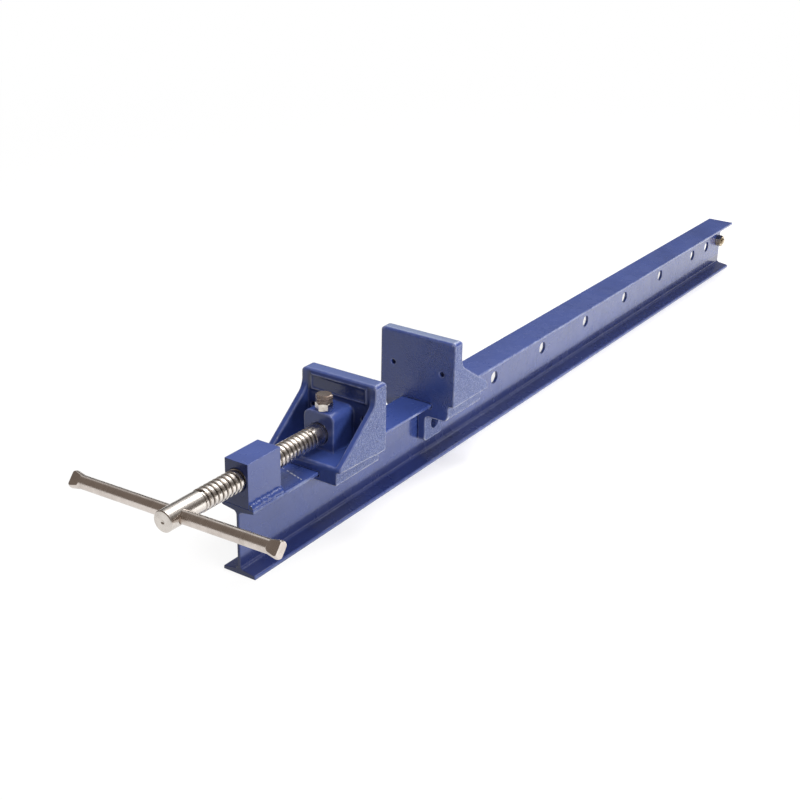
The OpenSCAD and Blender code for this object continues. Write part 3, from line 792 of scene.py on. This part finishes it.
def threaded(start, end, values):
    """A closed threaded rod about the X axis, between two places."""
    values = dict(values, Start=float(start), End=float(end))
    return trimmed(grow(helix, values), ((start, 0, 0), (-1, 0, 0)), ((end, 0, 0), (1, 0, 0)))


# %% [markdown]
# ## Screw
# Head, thread, collar and nose are one turned piece. The plain lengths are lathe work, joined to the threaded
# rod by booleans, and the cross hole for the tommy bar goes through the head at the small angle it stands at.
# A ring groove in the nose takes the point of the set bolt, so the jaw follows the screw both ways.

# %% Screw
PITCH, BLOCK_MIDDLE = 6.5, -614.0
SCREW_END, THREAD_START, THREAD_END, SCREW_TIP = -746.5, -696.5, -518, -474.5
GROOVE_X, TOMMY_X = -494.5, -727.5
HEAD, OUTSIDE, CREST, CENTRE_MARK = 11.5, 12.0, 3.7, 2.5
GROOVE_FLOOR, GROOVE_HALF, GROOVE_ROUND, GROOVE_LIP = OUTSIDE - 3.5, 5, 0.6, 0.4
CROSS_HOLE, CROSS_STRAIGHT, CROSS_OUTER = 7.35, 9.8, 14
TOMMY_TURN = Matrix.Rotation(radians(-1.7), 4, "X")
thread_values = {"Pitch": PITCH, "Phase": BLOCK_MIDDLE, "Outside": OUTSIDE, "Depth": 2.6, "Crest": CREST,
    "Flank": 0.5, "Rounding": 0.3, "Run Out": 4.0, "Steps": 48, "Rows": 21, "Material": screw_steel}
rod = threaded(THREAD_START, THREAD_END, thread_values)
head = lathe([(SCREW_END + CENTRE_MARK, 0), (SCREW_END, CENTRE_MARK), (SCREW_END, HEAD - 1.3),
    (SCREW_END + 0.3, HEAD - 0.6), (SCREW_END + 1.0, HEAD), (THREAD_START - 1.2, HEAD),
    (THREAD_START + 1.0, HEAD - 0.4), (THREAD_START + 1.0, 0)])
plain_radius = OUTSIDE - 0.03
half_groove = [(GROOVE_HALF + GROOVE_LIP, plain_radius), (GROOVE_HALF, plain_radius - GROOVE_LIP),
    (GROOVE_HALF, GROOVE_FLOOR + GROOVE_ROUND), (GROOVE_HALF - GROOVE_ROUND, GROOVE_FLOOR)]
ring_groove = [(GROOVE_X + along, radius) for along, radius in both_ways(half_groove)]
tip = [(SCREW_TIP - 1.0, plain_radius), (SCREW_TIP - 0.3, OUTSIDE - 0.6), (SCREW_TIP, OUTSIDE - 1.3)]
nose = lathe([(THREAD_END - 1, 0), (THREAD_END - 1, plain_radius), *ring_groove, *tip, (SCREW_TIP, 0)])
rod = cut(cut(rod, head, "UNION"), nose, "UNION")
rim_radius = CROSS_HOLE + CROSS_OUTER - CROSS_STRAIGHT
half_hole = [(CROSS_OUTER, 0), (CROSS_OUTER, rim_radius), (CROSS_STRAIGHT, CROSS_HOLE)]
cross_hole = laid(lathe(both_ways(half_hole), 64), TURN_Z, TOMMY_TURN, move_to(TOMMY_X, 0, 0))
rod = laid(cut(rod, cross_hole), move_to(0, 0, AXIS_Z))
hang("screw_turned", rod, screw_steel, "screw", "bright_steel", "screw", angle=32)

# %% [markdown]
# ## Tommy bar
# The handle is a plain round bar that slides through the screw's head. Its ends were spread in a press, so it
# can't fall out: each end widens like a cone and has two opposite flats where the press bit in, with a short
# round ramp at the neck. So the round shape is turned first, and rounded boxes then cut the flats.

# %% Tommy bar
ROD, FLARE, HALF, OFFSET = 7.25, 9.25, 132, 5
PRESSED, FLAT_LENGTH, RAMP, FLAT_TURN = 5.4, 13.0, 3.0, -50
BITE_PAST, BITE_HALF, BITE_TOP = 8, 14, 24
half_bar = [(HALF, 0), (HALF, 7.6), (HALF - 0.3, 8.5), (HALF - 0.9, 9.0), (HALF - 2.2, FLARE)]
half_bar.append((HALF - FLAT_LENGTH, ROD))
bites = []
for end in (-1, 1):
    inner, outer = sorted((end * (HALF - FLAT_LENGTH), end * (HALF + BITE_PAST)))
    for half_turn in (0, 180):
        bite = eased_box((inner, -BITE_HALF, PRESSED), (outer, BITE_HALF, BITE_TOP), RAMP, 9)
        bites.append(laid(bite, Matrix.Rotation(radians(FLAT_TURN + half_turn), 4, "X")))
handle = cut(lathe(both_ways(half_bar), 96), together(*bites))
handle = laid(handle, TURN_Z, move_to(0, OFFSET, 0), TOMMY_TURN, move_to(TOMMY_X, 0, AXIS_Z))
hang("tommy_bar_turned", handle, handle_steel, "tommy_bar", "bright_steel", "tommy_bar", angle=32)

# %% [markdown]
# ## Nut block
# The block is sawn from square bar, so its faces are flat and its edges crisp, with just enough of a break
# for the paint to hold. The bore is cut by the thread tree with a running gap all round, in step with the
# screw, and is opened at both faces by a small countersink.

# %% Nut block
BLOCK_LENGTH, BLOCK_HALF, BLOCK_TOP, BLOCK_EDGE = 52, 15, 130, 0.7
GAP, THREAD_PAST, SINK_DEEP, SINK_WIDE = 0.45, 10, 0.8, 1.8
block_end = NEAR_END + BLOCK_LENGTH
block = eased_box((NEAR_END, -BLOCK_HALF, HEIGHT), (block_end, BLOCK_HALF, BLOCK_TOP), BLOCK_EDGE)
bore_radius = OUTSIDE + GAP
bore_values = dict(thread_values, Outside=bore_radius, Crest=CREST + 2 * GAP, Steps=36, Rows=15)
tools = [threaded(NEAR_END - THREAD_PAST, block_end + THREAD_PAST, bore_values)]
for face, inward in ((NEAR_END, 1), (block_end, -1)):
    outer, inner = face - inward, face + SINK_DEEP * inward
    tools.append(lathe([(outer, 0), (outer, bore_radius + SINK_WIDE), (inner, bore_radius), (inner, 0)], 64))
for tool in tools:
    block = cut(block, laid(tool, move_to(0, 0, AXIS_Z)))
hang("nut_block_sawn", block, bar_enamel, "frame", "bar_enamel", "nut_block", angle=28)

# %% [markdown]
# ## Welds
# The block is held by hand-laid welds: a full bead in the corner, a little uneven, with small lumps where
# the welder stopped and spatter froze. A geometry tree scatters balls along a line with seeded differences in
# size and place. It runs twice, for the bead and for the lumps on its skin. A voxel remesh melts them into
# one skin, smoothing flattens the seams, and the faces on the block and the flange are cut flat.

# %% Tree for the welds
inputs = {"From": "Vector", "To": "Vector", "Blobs": 12, "Smallest": 3.0, "Largest": 4.5, "Wander": 0.8,
    "Seed": 1, "Material": "Material"}
weld_run, given, result = make_group("GeometryNodeTree", "weld_run", inputs, {"Weld": "Geometry"})
put = {"Count": given["Blobs"], "Start Location": given["From"], "Offset": given["To"]}
line = add("GeometryNodeMeshLine", put, mode="END_POINTS")
reach = add("ShaderNodeCombineXYZ", {n: given["Wander"] for n in range(3)})
less = add("ShaderNodeVectorMath", {0: reach, "Scale": -1.0}, operation="SCALE")
put = {"Min": less, "Max": reach, "Seed": given["Seed"]}
stray = add("FunctionNodeRandomValue", put, data_type="FLOAT_VECTOR").outputs["Value"]
line = add("GeometryNodeSetPosition", {"Geometry": line, "Offset": stray})
seed = plus(given["Seed"], 7.0)
size = add("FunctionNodeRandomValue", data_type="FLOAT")
for label, socket in (("Min", given["Smallest"]), ("Max", given["Largest"]), ("Seed", seed)):
    target = [s for s in size.inputs if s.name == label and s.enabled][0]
    weld_run.links.new(socket, target)
girth = [s for s in size.outputs if s.enabled][0]
ball = add("GeometryNodeMeshIcoSphere", {"Radius": 1.0, "Subdivisions": 3}).outputs["Mesh"]
blobs = add("GeometryNodeInstanceOnPoints", {"Points": line, "Instance": ball, "Scale": girth})
close_shape(blobs, given, result)


# %% Welds
def melted(mesh, voxel, rounds):
    """One closed skin over everything in a mesh, smoothed."""
    work = on_bench(mesh)
    skin = work.modifiers.new("skin", "REMESH")
    skin.mode, skin.voxel_size = "VOXEL", voxel
    ease = work.modifiers.new("ease", "SMOOTH")
    ease.factor, ease.iterations = 0.5, rounds
    return settled(work)


def weld(name, start, end, girth, skin, seed, block_face):
    """A bead in a corner: skin is the step from the corner to where the lumps lie."""
    bead = {"From": start, "To": end, "Blobs": 34, "Smallest": girth - 0.5, "Largest": girth + 0.5,
        "Wander": 0.3, "Seed": seed, "Material": bar_enamel}
    lumps = dict(bead, From=Vector(start) + Vector(skin), To=Vector(end) + Vector(skin), Seed=seed + 1)
    lumps.update(Blobs=7, Smallest=1.0, Largest=2.3, Wander=0.9)
    smooth = melted(grow(weld_run, bead), 0.5, 16)
    mass = melted(together(smooth, grow(weld_run, lumps)), 0.4, 4)
    low = Vector((NEAR_END + END_BREAK, 0, HEIGHT))
    planes = [(low, (0, 0, -1)), (low, (-1, 0, 0)), block_face]
    hang(name + "_bead", trimmed(mass, *planes), bar_enamel, "frame", "bar_enamel", name, angle=50)


SIDE_GIRTH, REAR_GIRTH, REAR_HALF = 5.1, 4.2, 12.0
line_z = HEIGHT + 0.8
for name, side, seed in (("near_side_weld", -1, 5), ("far_side_weld", 1, 11)):
    face = BLOCK_HALF * side
    start, end = (NEAR_END + 2.5, face, line_z), (block_end - 4.0, face, line_z)
    weld(name, start, end, SIDE_GIRTH, (0, 2.7 * side, 3.2), seed, ((0, face, 0), (0, -side, 0)))
start, end = (block_end, -REAR_HALF, HEIGHT), (block_end, REAR_HALF, HEIGHT)
weld("rear_weld", start, end, REAR_GIRTH, (2.2, 0, 2.4), 3, ((block_end, 0, 0), (-1, 0, 0)))

# %% [markdown]
# ## Castings
# The two jaws are iron castings: every edge and every inner corner is rounded, because sharp ones crumble in
# the sand mould. Modelling each fillet by hand would take long, so the solid is melted instead. A copy of its
# mesh is merged, remeshed in voxels of about a millimetre and smoothed a few times, which rounds outer and
# inner edges alike and leaves the flat faces flat. The thin rim of the bare panel would melt away, so it is
# laid on afterwards as four strips. The bore for the screw and the pin hole in the legs are drilled after
# casting, as on the real jaws, so they are cut last and stay true.

# %% Castings
VOXEL, ROUNDS = 0.95, 7


def cast(node):
    """The mesh of a solid, in millimetres, as a rounded casting."""
    bm = bmesh.new()
    bm.from_mesh(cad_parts[node].data)
    bmesh.ops.remove_doubles(bm, verts=bm.verts, dist=1e-6)
    bmesh.ops.scale(bm, vec=(1000, 1000, 1000), verts=bm.verts)
    return melted(as_mesh(bm), VOXEL, ROUNDS)


PLATE_BACK, PANEL_Z, PANEL_WIDE, PANEL_HIGH = -469, 149, 37, 9
STRIP_HALF, STRIP_PROUD, STRIP_EDGE = 0.8, 1.0, 0.35
BOSS_X, LEG, PIN, BORE_GAP = -505, 13.4, 7.95, 0.15
strips = [(0, way * (PANEL_HIGH - STRIP_HALF), PANEL_WIDE, STRIP_HALF) for way in (1, -1)]
strips += [(way * (PANEL_WIDE - STRIP_HALF), 0, STRIP_HALF, PANEL_HIGH) for way in (1, -1)]
rim = []
for y, z, half_y, half_z in strips:
    low = (PLATE_BACK - STRIP_PROUD, y - half_y, PANEL_Z + z - half_z)
    rim.append(eased_box(low, (PLATE_BACK + 1, y + half_y, PANEL_Z + z + half_z), STRIP_EDGE))
bore_radius = OUTSIDE + BORE_GAP
start = BOSS_X - 1
screw_drill = lathe([(start, 0), (start, bore_radius), (SCREW_TIP, bore_radius), (SCREW_TIP, 0)], 96)
pin_drill = lathe(both_ways([(LEG + 1, 0), (LEG + 1, PIN + BORE_GAP)]), 96)
moving = cut(cast("moving_jaw"), laid(screw_drill, move_to(0, 0, AXIS_Z)))
tail = cut(cast("tail_jaw"), laid(pin_drill, TURN_Z, move_to(PIN_X, 0, HOLE_Z)))
moving = together(moving, *rim)
hang("moving_jaw_cast", moving, jaw_enamel, "moving_jaw", "jaw_enamel", "moving_jaw", angle=60)
hang("tail_jaw_cast", tail, jaw_enamel, "tail_jaw", "jaw_enamel", "tail_jaw", angle=60)

# %% [markdown]
# ## Hexagons
# Bolt heads and nuts are forged hexagons whose corners are turned off by a cone, which leaves the curved
# arcs on the flats. The tree does the same: a six-sided bar, less what a cone doesn't hold at each end, less
# the bore. Its inputs make it a head, with one chamfered end and no bore, or a nut.

# %% Tree for the hexagons
CHAMFER_ANGLE = radians(30)
inputs = {"Flats": 17.0, "Height": 9.0, "Top Circle": 8.0, "Bottom Circle": 8.0, "Bore": 5.0,
    "Material": "Material"}
hexagon, given, result = make_group("GeometryNodeTree", "hexagon", inputs, {"Hexagon": "Geometry"})
corner = calc("DIVIDE", given["Flats"], sqrt(3))
put = {"Vertices": 6, "Radius": corner, "Depth": given["Height"]}
shape = add("GeometryNodeMeshCylinder", put).outputs["Mesh"]
spread = times(given["Height"], 1 / tan(CHAMFER_ANGLE))
drop = add("ShaderNodeCombineXYZ", {2: times(given["Height"], -0.5)})
for end, other in (("Top", "Bottom"), ("Bottom", "Top")):
    small = given[end + " Circle"]
    wide = plus(small, spread)
    put = {"Vertices": 96, "Radius " + end: small, "Radius " + other: wide, "Depth": given["Height"]}
    cone = add("GeometryNodeMeshCone", put).outputs["Mesh"]
    cone = add("GeometryNodeTransform", {"Geometry": cone, "Translation": drop}).outputs[0]
    step = add("GeometryNodeMeshBoolean", {}, operation="INTERSECT", solver="EXACT")
    for piece in (shape, cone):
        hexagon.links.new(piece, step.inputs["Mesh 2"])
    shape = step.outputs[0]
put = {"Vertices": 48, "Radius": given["Bore"], "Depth": times(given["Height"], 3.0)}
core = add("GeometryNodeMeshCylinder", put).outputs["Mesh"]
put = {"Mesh 1": shape, "Mesh 2": core}
shape = add("GeometryNodeMeshBoolean", put, operation="DIFFERENCE", solver="EXACT").outputs[0]
close_shape(shape, given, result)

# %% [markdown]
# ## Set bolt, lock nut and end stop
# The set bolt goes down through the boss, and its point runs in the screw's groove; the lock nut under its
# head keeps it from turning. The same bolt and nut close the far end of the bar, across the web, so the tail
# jaw can't slide off.

# %% Set bolt and lock nut
FLATS, NUT, BOLT_HEAD, SHANK, EDGE = 17.0, 9.0, 9.0, 5.0, 0.45
BOSS_TOP, BOLT_TURN = 134, radians(48)
POINT, POINT_RADIUS = AXIS_Z + GROOVE_FLOOR + 0.3, 3.0
bolt_thread = {"Pitch": 1.5, "Phase": 0.0, "Outside": SHANK, "Depth": 0.9, "Crest": 0.3, "Flank": 0.55,
    "Rounding": 0.1, "Run Out": 0.6, "Steps": 28, "Rows": 9, "Material": plated_bolt}
head_values = {"Flats": FLATS, "Height": BOLT_HEAD, "Top Circle": 8.0, "Bottom Circle": 10.5, "Bore": 0.0,
    "Material": browned_bolt}
nut_values = {"Flats": FLATS, "Height": NUT, "Top Circle": 8.1, "Bottom Circle": 8.1, "Bore": SHANK + 0.05,
    "Material": browned_bolt}


def forged(values, *moves):
    """A hexagon with its edges broken, moved into place."""
    return laid(broken_edges(grow(hexagon, values), EDGE), *moves)


seat = BOSS_TOP + NUT
at_boss = move_to(GROOVE_X, 0, 0)
shank = lathe([(POINT, 0), (POINT, POINT_RADIUS - 0.6), (POINT + 0.6, POINT_RADIUS),
    (POINT + 3.4, POINT_RADIUS), (POINT + 4.6, SHANK - 0.05), (seat + 1, SHANK - 0.05), (seat + 1, 0)], 48)
bolt = forged(head_values, Matrix.Rotation(BOLT_TURN, 4, "Z"), move_to(0, 0, seat + BOLT_HEAD / 2))
bolt = laid(cut(bolt, laid(shank, Matrix.Rotation(-pi / 2, 4, "Y")), "UNION"), at_boss)
hang("set_bolt_forged", bolt, browned_bolt, "moving_jaw", "plated_bolt", "set_bolt", angle=25)
nut = forged(nut_values, move_to(0, 0, BOSS_TOP + NUT / 2), at_boss)
hang("lock_nut_forged", nut, lit_nut_steel, "moving_jaw", "plated_bolt", "lock_nut", angle=25)

# %% End stop
STOP_X, TAIL, TAPER = 628, 3.0, 1.2
half = WEB / 2
tail_end = half + NUT + TAIL
stop_rod = threaded(-tail_end, half + 1, bolt_thread)
taper = lathe([(-tail_end, 0), (-tail_end, SHANK - TAPER), (-tail_end + TAPER, SHANK),
    (-tail_end + 2, SHANK + 1), (half + 2, SHANK + 1), (half + 2, 0)], 48)
stop_rod = laid(cut(stop_rod, taper, "INTERSECT"), TURN_Z)
across_web = Matrix.Rotation(-pi / 2, 4, "X") @ Matrix.Rotation(radians(30), 4, "Z")
at_stop = move_to(STOP_X, 0, HOLE_Z)
stop_head = forged(head_values, across_web, move_to(0, half + BOLT_HEAD / 2, 0))
stop = laid(cut(stop_head, stop_rod, "UNION"), at_stop)
hang("stop_bolt_forged", stop, plated_bolt, "frame", "plated_bolt", "stop_bolt", angle=25)
stop_nut = forged(nut_values, across_web, move_to(0, -half - NUT / 2, 0), at_stop)
hang("stop_nut_forged", stop_nut, plated_bolt, "frame", "plated_bolt", "stop_nut", angle=25)

# %% [markdown]
# ## Locating pin
# The loose pin that locks the tail jaw to one of the web's holes is turned steel with a broad head to pull it
# by. In the photograph it isn't seen, so it waits half drawn on the far side of the web.

# %% Locating pin
PIN_TIP, PIN_SEAT, PIN_TOP = 3.3, 30.7, 38.7
PIN_HEAD, NECK = 10.0, PIN - 0.5
profile = [(PIN_TIP, 0), (PIN_TIP, 6.6), (PIN_TIP + 0.3, 7.1), (PIN_TIP + 1.2, PIN), (PIN_SEAT - 0.8, PIN),
    (PIN_SEAT - 0.8, NECK), (PIN_SEAT, NECK), (PIN_SEAT, PIN_HEAD - 0.5), (PIN_SEAT + 0.5, PIN_HEAD),
    (PIN_TOP - 1.2, PIN_HEAD), (PIN_TOP - 0.4, 9.6), (PIN_TOP, 8.8), (PIN_TOP, 2.0), (PIN_TOP - 1.6, 0)]
pin = laid(lathe(profile, 56), TURN_Z, move_to(PIN_X, 0, HOLE_Z))
hang("locating_pin_turned", pin, pin_steel, "locating_pin", "pin_steel", "locating_pin", angle=28)

# %% [markdown]
# ## Finish
# Each piece's box was held against its solid's when it was hung. This cell only sets the view transform to
# Standard.

# %% Finish
bpy.context.scene.view_settings.view_transform = "Standard"
